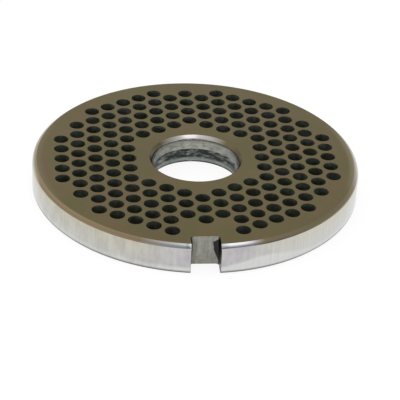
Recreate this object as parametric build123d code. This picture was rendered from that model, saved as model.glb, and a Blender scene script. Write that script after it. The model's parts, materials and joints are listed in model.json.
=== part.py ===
from build123d import *

import math
import os

# A meat grinder plate: one turned, drilled and slotted disc of steel.
# It lies flat with +Z up. The origin is the centre of its underside, on the
# axis of the bore, and the key slot opens towards -Y. Sizes are in millimetres.

# Disc
plate_diameter = 98.0
plate_thickness = 9.2
rim_edge_break = 0.5  # 45 degree break round the underside

# Upper rim edge: a lead-in cone that a round blends into the rim
lead_in_width = 1.25  # measured along the radius
lead_in_depth = 1.0  # measured down from the top face
rim_round = 1.3

# Centre bore: a smooth land above, a wider relief below
bore_diameter = 26.0
bore_land_depth = 4.45  # from the top face down to the relief's shoulder
bore_chamfer_width = 0.95
bore_chamfer_depth = 1.0
relief_step = 0.35  # how far the relief's wall stands back from the land
relief_edge_break = 0.1  # 45 degree break where the relief opens below

# Key slot in the rim, which stops the plate from turning
slot_width = 8.4
slot_depth = 5.3  # from the rim to the slot's flat floor
slot_offset = -1.1  # the slot's middle, along X
slot_corner_radius = 1.0
slot_mouth_break = 0.1  # 45 degree break where the flanks meet the rim

# Holes, on a triangular lattice about the plate's axis
hole_diameter = 4.5
hole_pitch = 5.8
hub_land = 4.5  # solid ring between the bore and the nearest holes
rim_land = 4.5  # solid ring between the outermost holes and the rim
slot_floor_land = 5.0  # solid metal kept behind the slot's floor
slot_flank_land = 1.5  # and beside its flanks

# Worked out from the sizes above
plate_radius = plate_diameter / 2
bore_radius = bore_diameter / 2
relief_radius = bore_radius + relief_step
hole_radius = hole_diameter / 2
slot_left = slot_offset - slot_width / 2
slot_right = slot_offset + slot_width / 2
slot_floor = -(plate_radius - slot_depth)
cut_margin = 1.0  # how far a cutting shape runs past the metal


def blank():
    """The turned disc: its half section, spun round Z."""
    top = plate_thickness
    rim_corner = (plate_radius, top - lead_in_depth)
    half_section = make_face(
        Polyline(
            (relief_radius + relief_edge_break, 0),
            (plate_radius - rim_edge_break, 0),
            (plate_radius, rim_edge_break),
            rim_corner,
            (plate_radius - lead_in_width, top),
            (bore_radius + bore_chamfer_width, top),
            (bore_radius, top - bore_chamfer_depth),
            (bore_radius, top - bore_land_depth),
            (relief_radius, top - bore_land_depth),
            (relief_radius, relief_edge_break),
            close=True,
        )
    )
    corner = half_section.vertices().sort_by_distance((*rim_corner, 0))[0]
    half_section = fillet(corner, rim_round)
    return revolve(Plane.XZ * half_section, Axis.Z)


def rim_at(x):
    """Where the rim lies, along Y, on the slot's side of the plate."""
    return -math.sqrt(plate_radius**2 - x**2)


def slot_cutter():
    """The slot's prism: flat floor, rounded inner corners, a broken mouth."""
    past = slot_mouth_break + cut_margin
    plan = make_face(
        Polyline(
            (slot_left, slot_floor),
            (slot_right, slot_floor),
            (slot_right, rim_at(slot_right) + slot_mouth_break),
            (slot_right + past, rim_at(slot_right) - cut_margin),
            (slot_left - past, rim_at(slot_left) - cut_margin),
            (slot_left, rim_at(slot_left) + slot_mouth_break),
            close=True,
        )
    )
    inner_corners = plan.vertices().group_by(Axis.Y)[-1]
    plan = fillet(inner_corners, slot_corner_radius)
    prism = extrude(plan, plate_thickness + 2 * cut_margin)
    return Pos(0, 0, -cut_margin) * prism


def is_drilled(x, y):
    """Whether a hole here leaves the hub, rim and slot their solid metal."""
    radius = math.hypot(x, y)
    clears_hub = radius - hole_radius >= bore_radius + hub_land
    clears_rim = radius + hole_radius <= plate_radius - rim_land
    beside_slot = abs(x - slot_offset) - hole_radius - slot_width / 2
    behind_slot = y - hole_radius - slot_floor
    clears_slot = beside_slot >= slot_flank_land or behind_slot >= slot_floor_land
    return clears_hub and clears_rim and clears_slot


def hole_centres():
    """Lattice points in columns along Y, each odd column moved half a pitch."""
    column_step = hole_pitch * math.sqrt(3) / 2
    reach = math.ceil(plate_radius / column_step)
    centres = []
    for column in range(-reach, reach + 1):
        for row in range(-reach, reach + 1):
            x = column * column_step
            y = (row + column % 2 / 2) * hole_pitch
            if is_drilled(x, y):
                centres.append((x, y))
    return centres


def hole_cutters(centres):
    """One prism with every hole in it."""
    circles = Sketch() + [Pos(x, y) * Circle(hole_radius) for x, y in centres]
    prisms = extrude(circles, plate_thickness + 2 * cut_margin)
    return Pos(0, 0, -cut_margin) * prisms


centres = hole_centres()
plate = blank() - slot_cutter() - hole_cutters(centres)
plate.label = "grinder_plate"

os.makedirs("parts", exist_ok=True)
export_step(plate, "parts/grinder_plate.step")
print(f"grinder_plate: {len(centres)} holes, {plate.volume / 1000:.2f} cm3")
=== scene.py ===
# %% [markdown]
# # A meat grinder plate
#
# A grinder plate is one disc of steel. A lathe turns its rim, a boring bar opens
# its centre, a cutter mills the key slot, a drill makes the holes, and a grinding
# wheel flattens both faces last. This lesson makes the disc in that same order,
# so that every surface can carry the finish that its own tool leaves on it.

import json
import math

import bmesh
import bpy
from mathutils import Matrix, Vector


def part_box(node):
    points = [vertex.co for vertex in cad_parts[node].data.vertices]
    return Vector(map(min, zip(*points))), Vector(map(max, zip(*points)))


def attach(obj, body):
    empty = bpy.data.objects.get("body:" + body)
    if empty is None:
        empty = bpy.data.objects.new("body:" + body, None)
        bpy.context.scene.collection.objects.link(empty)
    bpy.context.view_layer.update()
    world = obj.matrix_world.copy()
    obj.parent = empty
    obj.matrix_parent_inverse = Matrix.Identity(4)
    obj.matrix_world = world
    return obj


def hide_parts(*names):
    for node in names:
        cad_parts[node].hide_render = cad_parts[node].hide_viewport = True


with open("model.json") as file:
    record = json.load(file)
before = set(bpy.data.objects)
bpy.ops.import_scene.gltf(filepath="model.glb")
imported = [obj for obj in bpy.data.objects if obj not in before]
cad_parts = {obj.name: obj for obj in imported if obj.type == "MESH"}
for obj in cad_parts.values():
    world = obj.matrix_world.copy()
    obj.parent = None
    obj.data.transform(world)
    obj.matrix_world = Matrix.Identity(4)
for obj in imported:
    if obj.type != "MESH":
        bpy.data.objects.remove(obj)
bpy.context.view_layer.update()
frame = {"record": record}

# %% [markdown]
# ## Sizes
#
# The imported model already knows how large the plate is, so its outer sizes are
# read from the frame and never typed in again. The ones that the frame doesn't
# name, such as a chamfer's width or the pitch of the holes, are listed here once.
# Work is in millimetres, as in a machine shop, and the finished mesh is scaled to
# metres.

# %% Sizes from the frame
MILLIMETRE = 0.001
mounts = {mount["name"]: mount for mount in frame["record"]["mounts"]}
lowest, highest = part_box("grinder_plate")
thickness = (highest.z - lowest.z) / MILLIMETRE
plate_radius = mounts["rim"]["dims"]["r_mm"]
bore_radius = mounts["bore"]["dims"]["r_mm"]
slot_middle, slot_floor = (v / MILLIMETRE for v in mounts["key_slot"]["pos_m"][:2])
print(f"plate radius {plate_radius:.1f}, thickness {thickness:.1f}, bore radius {bore_radius:.1f}")

# %% Sizes of edges and steps
rim_edge_break = 0.5  # round the underside, at 45 degrees
lead_in_width = 1.25
lead_in_depth = 1.0
rim_round = 1.3
bore_land_depth = 4.45
bore_chamfer_width = 0.95
bore_chamfer_depth = 1.0
relief_step = 0.35  # how far the relief's wall stands back from the land
relief_radius = bore_radius + relief_step
relief_edge_break = 0.1
chamfer_round = 0.8  # between the bore's chamfer and its land
shoulder_round = 0.12
relief_corner_round = 0.15
cut_margin = 1.0  # how far a cutting shape runs past the metal
near = 0.01  # points closer than this stand at the same place
print(f"cone {lead_in_width} wide and {lead_in_depth} deep, relief radius {relief_radius:.2f}")

# %% Sizes of the slot
slot_width = 8.4
slot_corner_radius = 1.0
slot_mouth_break = 0.1
slot_left = slot_middle - slot_width / 2
slot_right = slot_middle + slot_width / 2
print(f"slot from {slot_left:.1f} to {slot_right:.1f}, its floor at {slot_floor:.1f}")

# %% Sizes of the holes
hole_radius = 2.25
hole_pitch = 5.8
hub_land = 4.5
rim_land = 4.5
slot_floor_land = 5.0
slot_flank_land = 1.5
print(f"holes {2 * hole_radius} across, {hole_pitch} apart")

# %% [markdown]
# ## One finish for each tool
#
# A mesh keeps a list of materials, and each face holds a number in that list.
# The list comes first, while its materials are still plain: a face can then be
# told which tool cut it at the moment it is made. The finishes themselves are
# mixed further down, when the shape is there to try them on.

# %% The list of finishes
finish_names = [
    "ground_face",
    "turned_lead_in",
    "turned_rim",
    "bored_chamfer",
    "bored_land",
    "bored_relief",
    "milled_slot",
    "drilled_wall",
]
finishes = {name: bpy.data.materials.new(name) for name in finish_names}
print(len(finishes), "finishes to mix")


# %% [markdown]
# ## Turning on a lathe
#
# Whatever a lathe makes is a half section spun round an axis. Each straight
# piece of the section is spun by itself, so that its band of faces can take a
# finish, and the bands are welded into one skin. The open circles at the two
# ends are filled with one flat face each. Flat faces with many corners suit a
# ground surface, because a wide fan of thin triangles would catch the light.


# %% One turned band
weld_distance = 0.001


def spin_band(work, start, end, finish, segments):
    """Adds the band of faces that one straight piece of a half section turns into."""
    already = len(work.faces)
    line = [work.verts.new((radius, 0, height)) for radius, height in (start, end)]
    edge = work.edges.new(line)
    bmesh.ops.spin(
        work,
        geom=[*line, edge],
        axis=(0, 0, 1),
        cent=(0, 0, 0),
        angle=math.tau,
        steps=segments,
        use_merge=True,
    )
    work.faces.ensure_lookup_table()
    for face in work.faces[already:]:
        face.material_index = finish_names.index(finish)


# %% A turned solid
def turned_solid(section, segments, end_finish):
    """A closed solid from (radius, height, finish of the band up to here) points."""
    work = bmesh.new()
    for (radius, height, _), (to_radius, to_height, finish) in zip(section, section[1:]):
        spin_band(work, (radius, height), (to_radius, to_height), finish, segments)
    bmesh.ops.remove_doubles(work, verts=work.verts, dist=weld_distance)
    already = len(work.faces)
    bmesh.ops.holes_fill(work, edges=work.edges, sides=segments)
    work.faces.ensure_lookup_table()
    for face in work.faces[already:]:
        face.material_index = finish_names.index(end_finish)
    bmesh.ops.recalc_face_normals(work, faces=work.faces)
    return work


# %% [markdown]
# ## Rounding a turned corner
#
# A round that runs along a whole ring is a bevel of that ring's edges. The bevel
# asks how far it may reach along each neighbouring face, and geometry gives that
# from the radius: the reach is the radius times the tangent of half the angle
# through which the section turns there.


# %% Rounded rings
def ring_at(work, radius, height):
    """The edges of the circle that one corner of the half section turned into."""

    def is_on_ring(vert):
        return abs(vert.co.xy.length - radius) < near and abs(vert.co.z - height) < near

    return [edge for edge in work.edges if all(is_on_ring(vert) for vert in edge.verts)]


def round_ring(work, radius, height, round_radius, turn, *, segments):
    """Rounds one ring, where the section turns through that many radians."""
    bmesh.ops.bevel(
        work,
        geom=ring_at(work, radius, height),
        offset=round_radius * math.tan(turn / 2),
        offset_type="OFFSET",
        affect="EDGES",
        segments=segments,
        profile=0.5,
        material=-1,
    )


# %% [markdown]
# ## The blank
#
# The blank is the disc before anything is cut into it. A cone leads into the rim
# at the top, so that the plate finds its way into the grinder's head, and a wide
# round blends that cone into the straight rim. The edge between the cone and
# the face stays sharp, because the face is ground flat last of all.

# %% Turn the blank
rim_segments = 360
blank = turned_solid(
    [
        (plate_radius - rim_edge_break, 0, ""),
        (plate_radius, rim_edge_break, "turned_rim"),
        (plate_radius, thickness - lead_in_depth, "turned_rim"),
        (plate_radius - lead_in_width, thickness, "turned_lead_in"),
    ],
    rim_segments,
    "ground_face",
)
cone_turn = math.atan2(lead_in_width, lead_in_depth)
foot_height = thickness - lead_in_depth
round_ring(blank, plate_radius, foot_height, rim_round, cone_turn, segments=8)
print(f"blank: {len(blank.faces)} faces, {blank.calc_volume() / 1000:.2f} cm3")

# %% [markdown]
# ## The bore
#
# What a boring bar takes away is a turned solid as well. From the underside up it
# is an edge break, the wide relief that clears the screw's shoulder, the close
# land that the stud turns in, and a chamfer. The shoulder's two corners are
# slightly round, as a tool's nose leaves them, and the corner under the chamfer
# is worn to a wider round.

# %% The boring bar's path
bore_segments = 240
shoulder_height = thickness - bore_land_depth
chamfer_height = thickness - bore_chamfer_depth
chamfer_slope = bore_chamfer_width / bore_chamfer_depth
bore_tool = turned_solid(
    [
        (relief_radius + relief_edge_break + cut_margin, -cut_margin, ""),
        (relief_radius, relief_edge_break, "bored_relief"),
        (relief_radius, shoulder_height, "bored_relief"),
        (bore_radius, shoulder_height, "bored_relief"),
        (bore_radius, chamfer_height, "bored_land"),
        (
            bore_radius + (bore_chamfer_depth + cut_margin) * chamfer_slope,
            thickness + cut_margin,
            "bored_chamfer",
        ),
    ],
    bore_segments,
    "bored_land",
)
print("bore tool:", len(bore_tool.faces), "faces")

# %% The marks of the tool's nose, and the worn corner
square_turn, chamfer_turn = math.pi / 2, math.atan(chamfer_slope)
for radius, height, round_radius, turn, segments in (
    (relief_radius, shoulder_height, relief_corner_round, square_turn, 4),
    (bore_radius, shoulder_height, shoulder_round, square_turn, 4),
    (bore_radius, chamfer_height, chamfer_round, chamfer_turn, 7),
):
    round_ring(bore_tool, radius, height, round_radius, turn, segments=segments)
print("with its rounds:", len(bore_tool.faces), "faces")


# %% [markdown]
# ## The key slot
#
# The slot keeps the plate from turning. Its cutter is a plan outline pulled up
# into a prism: a flat floor, two flanks, and a mouth that flares at 45 degrees,
# so that the flanks meet the rim in a small break and not in a burr. The two
# inner corners are rounded by bevelling the prism's upright edges.


# %% The slot's plan
def rim_at(x):
    """Where the rim lies, along Y, on the slot's side of the plate."""
    return -math.sqrt(plate_radius**2 - x**2)


def slot_plan():
    """The outline's corners, from the floor's left end and round to the left flank."""
    past = slot_mouth_break + cut_margin
    return [
        (slot_left, slot_floor),
        (slot_right, slot_floor),
        (slot_right, rim_at(slot_right) + slot_mouth_break),
        (slot_right + past, rim_at(slot_right) - cut_margin),
        (slot_left - past, rim_at(slot_left) - cut_margin),
        (slot_left, rim_at(slot_left) + slot_mouth_break),
    ]


# %% The slot cutter
def slot_prism():
    """The plan pulled up through the plate."""
    work = bmesh.new()
    plan = [work.verts.new((x, y, -cut_margin)) for x, y in slot_plan()]
    floor_face = work.faces.new(plan)
    pulled = bmesh.ops.extrude_face_region(work, geom=[floor_face])["geom"]
    moved = [item for item in pulled if isinstance(item, bmesh.types.BMVert)]
    bmesh.ops.translate(work, verts=moved, vec=(0, 0, thickness + 2 * cut_margin))
    for face in work.faces:
        face.material_index = finish_names.index("milled_slot")
    return work


slot_tool = slot_prism()
print("slot tool:", len(slot_tool.faces), "faces")

# %% The cutter's inner corners
inner_uprights = [
    edge
    for edge in slot_tool.edges
    if all(vert.co.y > slot_floor - near for vert in edge.verts)
    and edge.verts[0].co.xy == edge.verts[1].co.xy
]
bmesh.ops.bevel(
    slot_tool,
    geom=inner_uprights,
    offset=slot_corner_radius,
    affect="EDGES",
    segments=10,
    profile=0.5,
    material=-1,
)
bmesh.ops.recalc_face_normals(slot_tool, faces=slot_tool.faces)
print(len(inner_uprights), "corners rounded, now", len(slot_tool.faces), "faces")


# %% [markdown]
# ## The holes
#
# Meat is pressed through a field of small holes on a triangular lattice. A rule
# decides which lattice points are drilled: a hole has to leave solid rings at
# the hub and the rim, and solid metal about the slot. One drill is turned, and
# copies of it stand at every point that the rule keeps.


# %% The drilling rule
def is_drilled(x, y):
    """Whether a hole here leaves the hub, rim and slot their solid metal."""
    radius = math.hypot(x, y)
    clears_hub = radius - hole_radius >= bore_radius + hub_land
    clears_rim = radius + hole_radius <= plate_radius - rim_land
    beside_slot = abs(x - slot_middle) - hole_radius - slot_width / 2
    behind_slot = y - hole_radius - slot_floor
    clears_slot = beside_slot >= slot_flank_land or behind_slot >= slot_floor_land
    return clears_hub and clears_rim and clears_slot


# %% The drilling pattern
def hole_centres():
    """Lattice points in columns along Y, each odd column moved half a pitch."""
    column_step = hole_pitch * math.sqrt(3) / 2
    reach = math.ceil(plate_radius / column_step)
    span = range(-reach, reach + 1)
    lattice = [
        (column * column_step, (row + column % 2 / 2) * hole_pitch)
        for column in span
        for row in span
    ]
    return [point for point in lattice if is_drilled(*point)]


centres = hole_centres()
print(len(centres), "holes")

# %% The drills
drill_segments = 48
drills = turned_solid(
    [
        (hole_radius, -cut_margin, ""),
        (hole_radius, thickness + cut_margin, "drilled_wall"),
    ],
    drill_segments,
    "drilled_wall",
)
first_drill = [*drills.verts, *drills.edges, *drills.faces]
for x, y in centres[1:]:
    copied = bmesh.ops.duplicate(drills, geom=first_drill)["geom"]
    copied_verts = [item for item in copied if isinstance(item, bmesh.types.BMVert)]
    bmesh.ops.translate(drills, verts=copied_verts, vec=(x, y, 0))
first_verts = [item for item in first_drill if isinstance(item, bmesh.types.BMVert)]
bmesh.ops.translate(drills, verts=first_verts, vec=(*centres[0], 0))
print("drills:", len(drills.faces), "faces")


# %% [markdown]
# ## Cutting
#
# A Boolean modifier takes the tools away from the blank, as the machines do. Its
# exact solver keeps each face's number in the list of finishes, so the walls of
# a hole come out as drilled steel. The result is baked into a plain mesh, and
# the tools are put away.


# %% From bmesh to object
def mesh_from(work, name):
    """Turns a bmesh into a mesh that carries the whole list of finishes."""
    mesh = bpy.data.meshes.new(name)
    work.to_mesh(mesh)
    work.free()
    for material in finishes.values():
        mesh.materials.append(material)
    return mesh


def object_from(mesh, name):
    """Puts a mesh into the scene, at the origin."""
    thing = bpy.data.objects.new(name, mesh)
    bpy.context.scene.collection.objects.link(thing)
    return thing


# %% Gather the tools
all_tools = bmesh.new()
for tool, name in ((bore_tool, "bore_tool"), (slot_tool, "slot_tool"), (drills, "drills")):
    all_tools.from_mesh(mesh_from(tool, name))
tools = object_from(mesh_from(all_tools, "tools"), "tools")
print("all tools:", len(tools.data.polygons), "faces")

# %% Take the tools away from the blank
plate = object_from(mesh_from(blank, "blank"), "machined_plate")
cut = plate.modifiers.new("cut", "BOOLEAN")
cut.operation = "DIFFERENCE"
cut.solver = "EXACT"
cut.material_mode = "INDEX"
cut.object = tools
evaluated = plate.evaluated_get(bpy.context.evaluated_depsgraph_get())
machined = bpy.data.meshes.new_from_object(evaluated)
plate.modifiers.clear()
plate.data = machined
bpy.data.objects.remove(tools)
print("machined plate:", len(machined.polygons), "faces")

# %% [markdown]
# ## Shading
#
# Smooth shading makes the facets of the rim and the holes read as true rounds.
# Any edge that turns by more than a few degrees is marked sharp, or the light
# would roll over the ground face as if it were a cushion. The facets of the
# rounds turn by less than that, and the corner between two surfaces by more.

# %% Smooth the rounds and keep the edges
sharp_angle = math.radians(15)
machined.transform(Matrix.Scale(MILLIMETRE, 4))
machined.shade_smooth()
machined.set_sharp_from_angle(angle=sharp_angle)

checked = bmesh.new()
checked.from_mesh(machined)
triangles = sum(len(face.verts) - 2 for face in checked.faces)
open_edges = sum(not edge.is_manifold for edge in checked.edges)
volume = checked.calc_volume() / MILLIMETRE**3 / 1000
checked.free()
print(f"{triangles} triangles, {open_edges} open edges, {volume:.2f} cm3")

# %% Seat it in the frame
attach(plate, "root")
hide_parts("grinder_plate")


# %% [markdown]
# ## Mixing finishes
#
# A finish is a small tree of nodes. Every tree here starts from the place of a
# point on the plate, in millimetres, makes one or two noises from it, and lets
# them shift the colour, the roughness and the surface's height. These helpers
# keep each tree short enough to read as a recipe.


# %% Add and wire a node
def add_node(tree, kind, settings=None, **wires):
    """Adds a node. A wire's name is its socket's, with _ for a space, or its number after an n."""
    node = tree.nodes.new(kind)
    for name, value in (settings or {}).items():
        setattr(node, name, value)
    for name, value in wires.items():
        key = int(name[1:]) if name[1:].isdigit() else name.replace("_", " ")
        socket = node.inputs[key]
        if isinstance(value, bpy.types.NodeSocket):
            tree.links.new(value, socket)
        else:
            socket.default_value = value
    return node


# %% Sums with numbers and sockets
def calculate(tree, operation, first, second=0.0):
    """One sum with two numbers or sockets."""
    settings = {"operation": operation}
    return add_node(tree, "ShaderNodeMath", settings, n0=first, n1=second).outputs[0]


def product(tree, first, *others):
    """Numbers or sockets, multiplied together."""
    for value in others:
        first = calculate(tree, "MULTIPLY", first, value)
    return first


def largest(tree, first, *others):
    """The largest of some numbers or sockets."""
    for value in others:
        first = calculate(tree, "MAXIMUM", first, value)
    return first


def distance(tree, value, place):
    """How far a number is from a fixed one, on either side."""
    return calculate(tree, "ABSOLUTE", calculate(tree, "SUBTRACT", value, place))


# %% From one range of numbers to another
def remap(tree, value, from_low, from_high, to_low, to_high):
    """Stretches one range of numbers onto another, and clips what lies outside."""
    node = add_node(
        tree,
        "ShaderNodeMapRange",
        {"clamp": True},
        Value=value,
        From_Min=from_low,
        From_Max=from_high,
        To_Min=to_low,
        To_Max=to_high,
    )
    return node.outputs[0]


# %% Noise, colours and vectors
def vary(tree, vector, scale, detail=2.0, roughness=0.5):
    """Noise, from 0 to 1, with that many features in each millimetre."""
    node = add_node(
        tree,
        "ShaderNodeTexNoise",
        {"normalize": True},
        Vector=vector,
        Scale=scale,
        Detail=detail,
        Roughness=roughness,
    )
    return node.outputs["Fac"]


def mix_colours(tree, factor, first, second, blend="MIX"):
    """Two colours, or sockets that give colours, mixed by a factor."""
    settings = {"data_type": "RGBA", "blend_type": blend}
    return add_node(tree, "ShaderNodeMix", settings, n0=factor, n6=first, n7=second).outputs[2]


def combine(tree, x, y, z):
    """A vector from three numbers or sockets."""
    return add_node(tree, "ShaderNodeCombineXYZ", X=x, Y=y, Z=z).outputs[0]


# %% Where a point is on the plate
def reach_from_axis(tree, x, y):
    """The length of the way from (0, 0) to (x, y)."""
    squares = (product(tree, value, value) for value in (x, y))
    return calculate(tree, "SQRT", calculate(tree, "ADD", *squares))


def plate_place(tree):
    """The point in millimetres, as a vector and as x, y, height and distance from the axis."""
    coordinates = add_node(tree, "ShaderNodeTexCoord").outputs["Object"]
    grown = add_node(
        tree,
        "ShaderNodeVectorMath",
        {"operation": "SCALE"},
        Vector=coordinates,
        Scale=1 / MILLIMETRE,
    )
    place = grown.outputs[0]
    x, y, height = add_node(tree, "ShaderNodeSeparateXYZ", Vector=place).outputs
    return place, x, y, height, reach_from_axis(tree, x, y)


def stretched(tree, x, y, height, *, round_scale, height_scale):
    """The place of a point, squeezed differently round the plate and up it."""
    across, along = (product(tree, value, round_scale) for value in (x, y))
    return combine(tree, across, along, product(tree, height, height_scale))


# %% Start and finish a steel
def start_steel(name):
    """Opens one finish's tree, and makes its shader bare metal."""
    material = finishes[name]
    material.use_nodes = True
    tree = material.node_tree
    shader = tree.nodes["Principled BSDF"]
    shader.inputs["Metallic"].default_value = 1.0
    return tree, shader


def shaded(tree, colour, *shades):
    """A colour, lightened or darkened by each shade in turn."""
    for shade in shades:
        grey = combine(tree, shade, shade, shade)
        colour = mix_colours(tree, 1.0, colour, grey, "MULTIPLY")
    return colour


def finish_steel(tree, shader, colour, roughness, marks, *, depth):
    """Joins the colour, the roughness, and the marks as dents that many millimetres deep."""
    metres = depth * MILLIMETRE
    bump = add_node(tree, "ShaderNodeBump", Strength=1.0, Distance=metres, Height=marks)
    tree.links.new(colour, shader.inputs["Base Color"])
    tree.links.new(roughness, shader.inputs["Roughness"])
    tree.links.new(bump.outputs[0], shader.inputs["Normal"])
    print("mixed with", len(tree.nodes), "nodes")


# %% [markdown]
# ## Ground steel
#
# A grinding wheel sweeps the face in wide arcs about a point off the plate, and
# leaves scratches finer than a hair. Rings of noise about a far centre give such
# arcs. The steel has a thin brown film, as tool steel takes from heat and oil, and
# the film is a little greener in some places and a little redder in others. At the
# two sides a painted sheen makes the face paler towards the rim.

# %% The wheel's scratches
tree, shader = start_steel("ground_face")
place, x, y, _, radius = plate_place(tree)
wheel_x, wheel_y = -130.0, 60.0
from_wheel_x = calculate(tree, "SUBTRACT", x, wheel_x)
from_wheel_y = calculate(tree, "SUBTRACT", y, wheel_y)
reach = reach_from_axis(tree, from_wheel_x, from_wheel_y)
along = product(tree, calculate(tree, "ARCTAN2", from_wheel_y, from_wheel_x), 12.0)
scratches = vary(tree, combine(tree, reach, along, 0.0), 3.0, 4.0, 0.7)
print("the wheel's centre is", round(math.hypot(wheel_x, wheel_y)), "mm off the plate's")

# %% The two ground faces
film = vary(tree, place, 0.16, 3.0, 0.6)
cloud = vary(tree, place, 0.05, 1.0)
green_brown = (0.147, 0.129, 0.052, 1)
red_brown = (0.174, 0.127, 0.062, 1)
painted_sheen_colour = (0.33, 0.29, 0.2, 1)
colour = mix_colours(tree, remap(tree, film, 0.35, 0.65, 0, 1), green_brown, red_brown)
fine_shade = remap(tree, scratches, 0.2, 0.8, 0.97, 1.03)
wide_shade = remap(tree, cloud, 0.3, 0.7, 0.96, 1.04)
colour = shaded(tree, colour, fine_shade, wide_shade)
# Painted sheen: the face is painted paler towards the rim at its two sides.
sideways = calculate(tree, "DIVIDE", x, radius)
right_side = remap(tree, sideways, 0.9, 0.99, 0, 0.8)
left_side = remap(tree, sideways, -0.85, -0.98, 0, 0.3)
sheen_sides = calculate(tree, "ADD", right_side, left_side)
painted_side_sheen = product(tree, sheen_sides, remap(tree, radius, 45.8, 47.8, 0, 1))
colour = mix_colours(tree, painted_side_sheen, colour, painted_sheen_colour)
roughness = remap(tree, scratches, 0.2, 0.8, 0.2, 0.26)
finish_steel(tree, shader, colour, roughness, scratches, depth=0.0006)

# %% [markdown]
# ## The turned rim
#
# The rim was turned and then rubbed bright by going in and out of the grinder's
# head, so its faint streaks run up and down. Streaks are noise that is squeezed
# along one direction: across them it changes fast, and along them slowly. The
# rim is duller on one side, where old marks were polished away, and darker where
# fingers touch it beside the slot. A paler band is painted along the bottom and
# climbs a little to the right of the slot, as a painted reflection, and below it
# a thin dark line of painted shade sits in the broken edge.

# %% The rim's steel
tree, shader = start_steel("turned_rim")
place, x, y, height, _ = plate_place(tree)
streak_place = stretched(tree, x, y, height, round_scale=1, height_scale=0.06)
smudge_place = stretched(tree, x, y, height, round_scale=1, height_scale=0.5)
streaks = vary(tree, streak_place, 1.1, 4.0, 0.65)
smudges = vary(tree, smudge_place, 0.35, 3.0, 0.6)
stains = vary(tree, place, 0.22, 2.0, 0.5)

plain_steel, warm_steel = (0.585, 0.585, 0.565, 1), (0.58, 0.565, 0.49, 1)
cool_steel, handled_steel = (0.53, 0.515, 0.525, 1), (0.44, 0.42, 0.45, 1)
reflection_band_steel = (0.65, 0.655, 0.645, 1)
colour = mix_colours(tree, remap(tree, height, 3.0, 7.0, 0, 1), plain_steel, warm_steel)
beside_slot = remap(tree, calculate(tree, "ABSOLUTE", x), 9.0, 22.0, 1, 0)
at_front = remap(tree, y, -35.0, -42.0, 0, 1)
cool = product(tree, beside_slot, at_front, remap(tree, stains, 0.3, 0.55, 0.4, 1))
colour = mix_colours(tree, cool, colour, cool_steel)
handled = product(tree, cool, remap(tree, smudges, 0.4, 0.6, 0, 0.8))
colour = mix_colours(tree, handled, colour, handled_steel)
# Painted reflection: a paler band along the bottom, climbing to the right of the slot.
band_climb = product(tree, remap(tree, x, 3.0, 14.0, 0, 2.4), remap(tree, x, 18.0, 30.0, 1, 0))
above_band = calculate(tree, "SUBTRACT", height, calculate(tree, "ADD", band_climb, 2.0))
painted_reflection_band = remap(tree, above_band, -0.5, 0.5, 1, 0)
colour = mix_colours(tree, painted_reflection_band, colour, reflection_band_steel)

# %% The rim's dull side and its painted edge shade
dull_tint, painted_edge_shade = (0.96, 0.95, 0.925, 1), (0.15, 0.15, 0.15, 1)
dull_side = remap(tree, x, -9.0, -18.0, 0, 1)
colour = mix_colours(tree, dull_side, colour, dull_tint, "MULTIPLY")
dullness = product(tree, dull_side, remap(tree, smudges, 0.4, 0.62, 0, 1))
dull_shade = remap(tree, dullness, 0, 1, 1.0, 0.88)
streak_shade = remap(tree, streaks, 0.25, 0.75, 0.92, 1.06)
colour = shaded(tree, colour, streak_shade, dull_shade)
# Painted shade: a thin dark line in the broken edge along the bottom.
colour = mix_colours(tree, remap(tree, height, 0.5, 1.1, 0.95, 0), colour, painted_edge_shade)
roughness = remap(tree, streaks, 0.25, 0.75, 0.14, 0.24)
finish_steel(tree, shader, colour, roughness, streaks, depth=0.002)

# %% [markdown]
# ## The turned cone
#
# The lead-in cone still has its turning rings and the brown film too. The key has
# rubbed the film off beside the slot, and there a painted highlight runs along the
# cone's upper edge over a painted dark reflection, bluish left of the slot and
# crossed by one dark stroke. A darker ring is painted low on the cone as painted
# shade. A painted sheen makes the cone paler at the two sides, and a painted dark
# reflection lines the foot of the cone to the right of the slot.

# %% Where the cone is rubbed bright
tree, shader = start_steel("turned_lead_in")
_, x, y, height, radius = plate_place(tree)
rings = vary(tree, stretched(tree, x, y, radius, round_scale=0.05, height_scale=3.0), 1.0, 3.0)
towards_slot = calculate(tree, "ARCTAN2", x, product(tree, y, -1.0))
rubbed_from, rubbed_to = -0.42, 0.33
rubbed_left = remap(tree, towards_slot, rubbed_from, -0.15, 0, 1)
rubbed_right = remap(tree, towards_slot, 0.245, rubbed_to, 1, 0)
rubbed = product(tree, rubbed_left, rubbed_right)
ends = [round(math.degrees(angle)) for angle in (rubbed_from, rubbed_to)]
print("the cone is bright from", ends[0], "to", ends[1], "degrees about the front")

# %% The painted highlight beside the slot
# Painted highlight over painted dark reflection: bright along the cone's upper edge, dark below,
# bright again at the foot and at the slot's edges.
painted_upper_highlight = remap(tree, radius, 48.1, 48.5, 1.3, 0.58)
painted_foot_highlight = remap(tree, radius, 48.65, 48.8, 0.58, 0.95)
# A painted dark reflection crosses the cone a little left of the slot.
dark_reflection_x = slot_left - 1.1
from_left, from_right, from_dark_reflection = (
    distance(tree, x, line) for line in (slot_left, slot_right, dark_reflection_x)
)
painted_left_highlight = remap(tree, from_left, 0.3, 0.8, 1.0, 0)
painted_right_highlight = remap(tree, from_right, 0.6, 2.6, 0.95, 0)
painted_highlight = largest(tree, painted_upper_highlight, painted_foot_highlight, painted_left_highlight, painted_right_highlight)
# Painted shade beside the right flank.
flank_shade = remap(tree, from_right, 0.3, 2.6, 0.6, 1.0)
dark_reflection_shade = remap(tree, from_dark_reflection, 0.2, 0.8, 0.7, 1.0)
print("a smear crosses the cone at", round(dark_reflection_x, 1))

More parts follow.
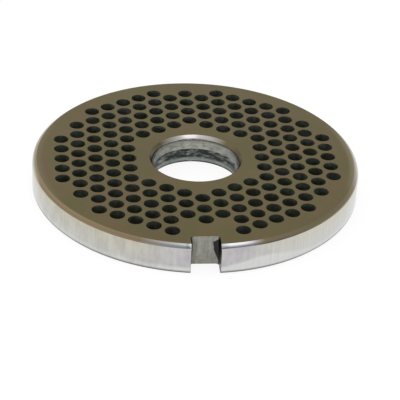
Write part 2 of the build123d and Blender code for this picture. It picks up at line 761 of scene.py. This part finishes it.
# %% The cone's film and bare metal
bare_steel, blue_reflection_steel = (0.51, 0.51, 0.525, 1), (0.33, 0.37, 0.38, 1)
left_film, right_film = (0.265, 0.205, 0.121, 1), (0.25, 0.21, 0.13, 1)
highlighted_bare_steel = shaded(tree, bare_steel, painted_highlight, flank_shade, dark_reflection_shade)
film = mix_colours(tree, remap(tree, x, 5, 25, 0, 1), left_film, right_film)
colour = mix_colours(tree, rubbed, film, highlighted_bare_steel)
# Painted dark reflection, bluish, on the lower cone left of the slot.
left_of_slot = remap(tree, x, -6.2, -7.4, 0, 1)
painted_blue_reflection = product(tree, rubbed, left_of_slot, remap(tree, radius, 48.2, 48.6, 0, 1))
colour = mix_colours(tree, painted_blue_reflection, colour, blue_reflection_steel)

# %% Painted dark line and sheen on the cone
# Painted dark reflection: a dark line along the foot of the cone, right of the slot.
foot_line_colour, sheen_steel = (0.12, 0.11, 0.09, 1), (0.5, 0.48, 0.42, 1)
painted_foot_line = product(
    tree,
    remap(tree, x, 12.0, 17.0, 0, 0.8),
    remap(tree, x, 22.0, 34.0, 1, 0),
    remap(tree, y, -30.0, -34.0, 0, 1),
    remap(tree, height, 8.55, 8.3, 0, 1),
)
colour = mix_colours(tree, painted_foot_line, colour, foot_line_colour)
# Painted sheen: the cone is paler at its two sides.
sideways = calculate(tree, "DIVIDE", x, radius)
right_side = remap(tree, sideways, 0.93, 0.995, 0, 1)
left_side = remap(tree, sideways, -0.96, -0.998, 0, 1)
right_sheen = product(tree, right_side, remap(tree, radius, 48.0, 48.5, 0.35, 1))
left_sheen = product(tree, left_side, remap(tree, radius, 48.2, 48.6, 0, 1))
colour = mix_colours(tree, calculate(tree, "ADD", right_sheen, left_sheen), colour, sheen_steel)

# %% The cone's rings
# Painted shade: a darker ring along the lower part of the cone, fading out to the right.
from_dark_ring = distance(tree, radius, 48.5)
painted_ring_shade = remap(tree, from_dark_ring, 0.05, 0.25, 0.86, 1.0)
painted_ring_shade = largest(tree, painted_ring_shade, remap(tree, x, 5, 25, 0.86, 1.0))
ring_shade = remap(tree, rings, 0.25, 0.75, 0.93, 1.05)
colour = shaded(tree, colour, ring_shade, painted_ring_shade)
roughness = remap(tree, rings, 0.25, 0.75, 0.14, 0.24)
finish_steel(tree, shader, colour, roughness, rings, depth=0.002)

# %% [markdown]
# ## Bored steel
#
# The chamfer has the same brown film as the face. At the back the film is worn off
# and a painted highlight makes it bright, and at the two sides painted shade makes
# it darkest. The land was cut with a fine feed and shines softly. It is painted
# darker towards the front and to the left as painted shade, and a dark band is
# painted on it just below the chamfer at the back. The relief below was only
# roughed out: it stays dark, with paler streaks where the tool tore the metal,
# and a painted highlight makes a paler band near its lower edge.

# %% The bore's chamfer
tree, shader = start_steel("bored_chamfer")
_, x, y, height, _ = plate_place(tree)
rings = vary(tree, stretched(tree, x, y, height, round_scale=0.12, height_scale=2.0), 1.0, 3.0)
chamfer_film, rubbed_chamfer_highlight = (0.15, 0.124, 0.068, 1), (0.7, 0.67, 0.66, 1)
off_back = calculate(tree, "ABSOLUTE", calculate(tree, "ARCTAN2", x, y))
# Painted highlight at the back, where the film is also worn off.
rubbed = remap(tree, off_back, 0.15, 0.85, 1, 0)
colour = mix_colours(tree, rubbed, chamfer_film, rubbed_chamfer_highlight)
# Painted shade: darkest at the two sides.
up_to_side = remap(tree, off_back, 1.0, 1.5, 1.0, 0.5)
past_side = remap(tree, off_back, 1.6, 1.8, 0.5, 0.9)
side_shade = largest(tree, up_to_side, past_side)
ring_shade = remap(tree, rings, 0.25, 0.75, 0.9, 1.08)
colour = shaded(tree, colour, ring_shade, side_shade)
roughness = remap(tree, rings, 0.25, 0.75, 0.2, 0.28)
finish_steel(tree, shader, colour, roughness, rings, depth=0.003)

# %% The bore's land
tree, shader = start_steel("bored_land")
_, x, y, height, _ = plate_place(tree)
rings = vary(tree, stretched(tree, x, y, height, round_scale=0.12, height_scale=2.0), 1.0, 3.0)
blotch_place = stretched(tree, x, y, height, round_scale=0.6, height_scale=1.1)
blotches = vary(tree, blotch_place, 0.8, 3.0, 0.5)
land_steel, land_dark_colour = (0.31, 0.315, 0.275, 1), (0.10, 0.10, 0.08, 1)
# A dark band painted on the land just below the chamfer, towards the back.
dark_mark = product(
    tree,
    remap(tree, height, 7.2, 7.8, 0, 0.85),
    remap(tree, blotches, 0.35, 0.6, 0.3, 1),
    remap(tree, y, 6.0, 9.0, 0, 1),
    remap(tree, x, -8.0, -4.0, 0.4, 1),
)
colour = mix_colours(tree, dark_mark, land_steel, land_dark_colour)
ring_shade = remap(tree, rings, 0.25, 0.75, 0.9, 1.08)
blotch_shade = remap(tree, blotches, 0.38, 0.64, 0.68, 1.2)
# Painted shade: darker towards the front and to the left.
back_shade = remap(tree, y, 4.0, 12.0, 0.8, 1.02)
left_shade = remap(tree, x, -4.0, -8.5, 1.0, 0.82)
colour = shaded(tree, colour, ring_shade, blotch_shade, back_shade, left_shade)
roughness = remap(tree, blotches, 0.3, 0.7, 0.22, 0.34)
finish_steel(tree, shader, colour, roughness, rings, depth=0.003)

# %% The relief
tree, shader = start_steel("bored_relief")
_, x, y, height, _ = plate_place(tree)
torn = vary(tree, stretched(tree, x, y, height, round_scale=0.45, height_scale=1.5), 0.8, 5.0, 0.75)
dark_relief, torn_and_highlight_steel = (0.036, 0.044, 0.043, 1), (0.28, 0.3, 0.28, 1)
torn_more = remap(tree, y, 11.0, 0.0, 0, 0.16)
streaked = remap(tree, calculate(tree, "ADD", torn, torn_more), 0.5, 0.66, 0, 0.9)
# Painted highlight: a paler band near the relief's lower edge.
painted_low_highlight = product(
    tree,
    remap(tree, height, 1.9, 1.3, 0, 1),
    remap(tree, height, 0.35, 0.6, 0, 1),
    remap(tree, torn, 0.3, 0.55, 0.5, 1),
)
colour = mix_colours(tree, largest(tree, streaked, painted_low_highlight), dark_relief, torn_and_highlight_steel)
roughness = remap(tree, torn, 0.3, 0.7, 0.55, 0.4)
finish_steel(tree, shader, colour, roughness, torn, depth=0.03)

# %% [markdown]
# ## Milled and drilled steel
#
# The slot's cutter moved up and down, so its marks stand upright. A dark patch is
# painted in one inner corner of the slot: it is widest above half height and
# narrows to the top and the bottom. The other corner is darkened a little less, as
# painted shade. The drill left the holes dull, and they hold a film of dark oil, so
# almost no light comes back out of them.

# %% Dark marks in the key slot
tree, shader = start_steel("milled_slot")
place, x, y, height, _ = plate_place(tree)
strokes = vary(tree, stretched(tree, x, y, height, round_scale=1, height_scale=0.1), 1.4, 4.0, 0.7)
wobble = vary(tree, place, 0.9, 2.0)
# A dark patch painted in the right inner corner, widest above half height.
upper_edge = remap(tree, height, 7.2, 8.7, 1.3, 3.0)
lower_edge = remap(tree, height, 5.0, 1.2, 1.35, 2.9)
dark_patch_edge = largest(tree, upper_edge, lower_edge)
dark_patch_edge = calculate(tree, "ADD", dark_patch_edge, remap(tree, wobble, 0.3, 0.7, -0.15, 0.15))
right_dark_patch = remap(tree, calculate(tree, "SUBTRACT", x, dark_patch_edge), -0.12, 0.12, 0, 1)
# Painted shade in the left inner corner.
painted_corner_shade = remap(tree, x, -4.5, -4.15, 0.8, 0)
painted_spread_shade = remap(tree, x, -4.5, -2.8, 0.4, 0)
painted_left_shade = product(
    tree,
    largest(tree, painted_corner_shade, painted_spread_shade),
    remap(tree, height, 1.5, 4.5, 0.5, 1),
    remap(tree, height, 8.4, 7.4, 0.3, 1),
)
dark_mark = largest(tree, right_dark_patch, painted_left_shade)
print("grease is drawn with", len(tree.nodes), "nodes so far")

# %% The key slot
slot_steel, slot_dark_colour = (0.29, 0.29, 0.25, 1), (0.035, 0.033, 0.033, 1)
colour = mix_colours(tree, dark_mark, slot_steel, slot_dark_colour)
stroke_shade = remap(tree, strokes, 0.35, 0.65, 0.8, 1.12)
low_shade = remap(tree, height, 0.5, 7.0, 0.86, 1.0)
patch_shade = remap(tree, wobble, 0.35, 0.65, 0.9, 1.08)
colour = shaded(tree, colour, stroke_shade, low_shade, patch_shade)
roughness = remap(tree, strokes, 0.25, 0.75, 0.24, 0.38)
finish_steel(tree, shader, colour, roughness, strokes, depth=0.006)

# %% The hole walls
tree, shader = start_steel("drilled_wall")
place, *_ = plate_place(tree)
oil = vary(tree, place, 0.7, 2.0)
dark_oil, pale_oil = (0.305, 0.33, 0.24, 1), (0.345, 0.37, 0.35, 1)
colour = mix_colours(tree, remap(tree, oil, 0.35, 0.65, 0, 1), dark_oil, pale_oil)
roughness = remap(tree, oil, 0.3, 0.7, 0.35, 0.5)
finish_steel(tree, shader, colour, roughness, oil, depth=0.01)

# %% [markdown]
# ## The table and the room
#
# Bare metal has almost no colour of its own: it shows what stands round it. A
# bright table fills the lower half of every reflection, and a room that is pale
# at the horizon and dimmer higher up fills the rest. The camera sees both as
# plain white, and the table still takes the plate's soft shadow. A reflection
# shows the part of the table that the plate covers as dark, as it would be.

# %% The table
table_reach = 2.0  # metres from the middle to each side
table_drop = 0.02  # millimetres under the plate, so that no two faces lie in one plane
table_work = bmesh.new()
bmesh.ops.create_grid(table_work, x_segments=1, y_segments=1, size=table_reach)
table_mesh = bpy.data.meshes.new("table")
table_work.to_mesh(table_mesh)
table_work.free()
table_mesh.transform(Matrix.Translation((0, 0, -table_drop * MILLIMETRE)))
table = object_from(table_mesh, "table")
print("table:", 2 * table_reach, "metres square")

# %% Where the plate covers the table
table_paint = bpy.data.materials.new("table_paint")
table_paint.use_nodes = True
table_mesh.materials.append(table_paint)
tree = table_paint.node_tree
tree.nodes.clear()
_, x, y, _, radius = plate_place(tree)
ring_blur, slot_blur = 0.4, 0.2  # how soft the edge between dark and bright is
beyond_rim = remap(tree, radius, plate_radius - ring_blur, plate_radius, 0, 1)
within_bore = remap(tree, radius, bore_radius, bore_radius + ring_blur, 1, 0)
from_slot = distance(tree, x, slot_middle)
between_flanks = remap(tree, from_slot, slot_width / 2 - slot_blur, slot_width / 2, 1, 0)
before_floor = remap(tree, y, slot_floor - slot_blur, slot_floor, 1, 0)
within_slot = product(tree, between_flanks, before_floor)
lit = largest(tree, beyond_rim, within_bore, within_slot)
print("a reflection finds the table dark under the plate, to", plate_radius, "mm out")

# %% The table's paint
white = (1, 1, 1, 1)
ray = add_node(tree, "ShaderNodeLightPath")
camera_ray, mirror_ray, glass_ray = (
    ray.outputs[f"Is {kind} Ray"] for kind in ("Camera", "Glossy", "Transmission")
)
glow_when_seen, paint_when_seen, paint_otherwise = 0.87, 0.18, 0.8
mirrored = largest(tree, mirror_ray, glass_ray)
glow_share = largest(tree, product(tree, mirrored, lit), camera_ray)
glow_share = product(tree, glow_share, glow_when_seen)
glow = add_node(tree, "ShaderNodeEmission", Color=white, Strength=glow_share).outputs[0]
seen = largest(tree, mirrored, camera_ray)
paint_share = remap(tree, seen, 0, 1, paint_otherwise, paint_when_seen)
paint_colour = combine(tree, paint_share, paint_share, paint_share)
paint = add_node(tree, "ShaderNodeBsdfDiffuse", Color=paint_colour).outputs[0]
surface = add_node(tree, "ShaderNodeAddShader", n0=paint, n1=glow).outputs[0]
add_node(tree, "ShaderNodeOutputMaterial", Surface=surface)
print("the camera sees a glow of", glow_when_seen, "and paint of", paint_when_seen)

# %% The room
room = bpy.data.worlds.new("room")
bpy.context.scene.world = room
room.use_nodes = True
tree = room.node_tree
tree.nodes.clear()
direction = add_node(tree, "ShaderNodeTexCoord").outputs["Generated"]
across, depth, rise = add_node(tree, "ShaderNodeSeparateXYZ", Vector=direction).outputs
far_to_near = remap(tree, depth, -0.85, -0.55, 0.3, 0.8)
left_to_right = product(tree, across, -0.25)
level = calculate(tree, "ADD", far_to_near, left_to_right)
walls = combine(tree, level, level, level)
horizon = calculate(tree, "ADD", rise, product(tree, depth, 0.12))
walls = mix_colours(tree, remap(tree, horizon, 0.2, 0.42, 0, 1), white, walls)
ray = add_node(tree, "ShaderNodeLightPath")
seen_walls = mix_colours(tree, ray.outputs["Is Camera Ray"], walls, white)
background = add_node(tree, "ShaderNodeBackground", Color=seen_walls, Strength=1.0).outputs[0]
add_node(tree, "ShaderNodeOutputWorld", Surface=background)
print("the room takes", len(tree.nodes), "nodes")

# %% [markdown]
# ## The lamp
#
# One long soft box hangs over the plate. Its reflection is what makes the lead-in
# cone flash beside the slot and the chamfer flash at the back of the bore, so it
# is placed by working backwards from where those flashes are.

# %% The lamp
lamp = bpy.data.lights.new("soft_box", "AREA")
lamp.shape = "RECTANGLE"
lamp.size = 0.32
lamp.size_y = 0.40
lamp.energy = 0.31
lamp_object = bpy.data.objects.new("soft_box", lamp)
lamp_object.location = (0.125, -0.285, 0.6)
bpy.context.scene.collection.objects.link(lamp_object)
print("lamp at", tuple(round(v, 3) for v in lamp_object.location))

# %% [markdown]
# ## The camera
#
# The camera stands a little to the left of the slot and looks down at about a
# third of a right angle, with a long lens. It is turned a few degrees about its
# own axis. Its place is worked out from the point that it aims at: the middle of
# the top face, shifted a little within the picture.

# %% The camera's view
view_azimuth = math.radians(-6.5775)
view_elevation = math.radians(31.5111)
view_roll = math.radians(2.9403)
view_distance = 525.04
aim_right, aim_down = 1.26, 12.77
focal_length, sensor_width = 157.07, 36.0

# %% The camera's place
back = Vector(
    (
        math.sin(view_azimuth) * math.cos(view_elevation),
        -math.cos(view_azimuth) * math.cos(view_elevation),
        math.sin(view_elevation),
    )
)
turn = back.to_track_quat("Z", "Y").to_matrix() @ Matrix.Rotation(view_roll, 3, "Z")
right, up = turn.col[0], turn.col[1]
aim = Vector((0, 0, thickness)) + right * aim_right - up * aim_down
camera_place = Matrix.Translation((aim + back * view_distance) * MILLIMETRE)

# %% The camera
camera_data = bpy.data.cameras.new("camera")
camera_data.lens = focal_length
camera_data.sensor_width = sensor_width
camera = bpy.data.objects.new("camera", camera_data)
camera.matrix_world = camera_place @ turn.to_4x4()
bpy.context.scene.collection.objects.link(camera)
bpy.context.scene.camera = camera
bpy.context.scene.view_settings.view_transform = "Standard"
print("camera at", tuple(round(v, 3) for v in camera.location))
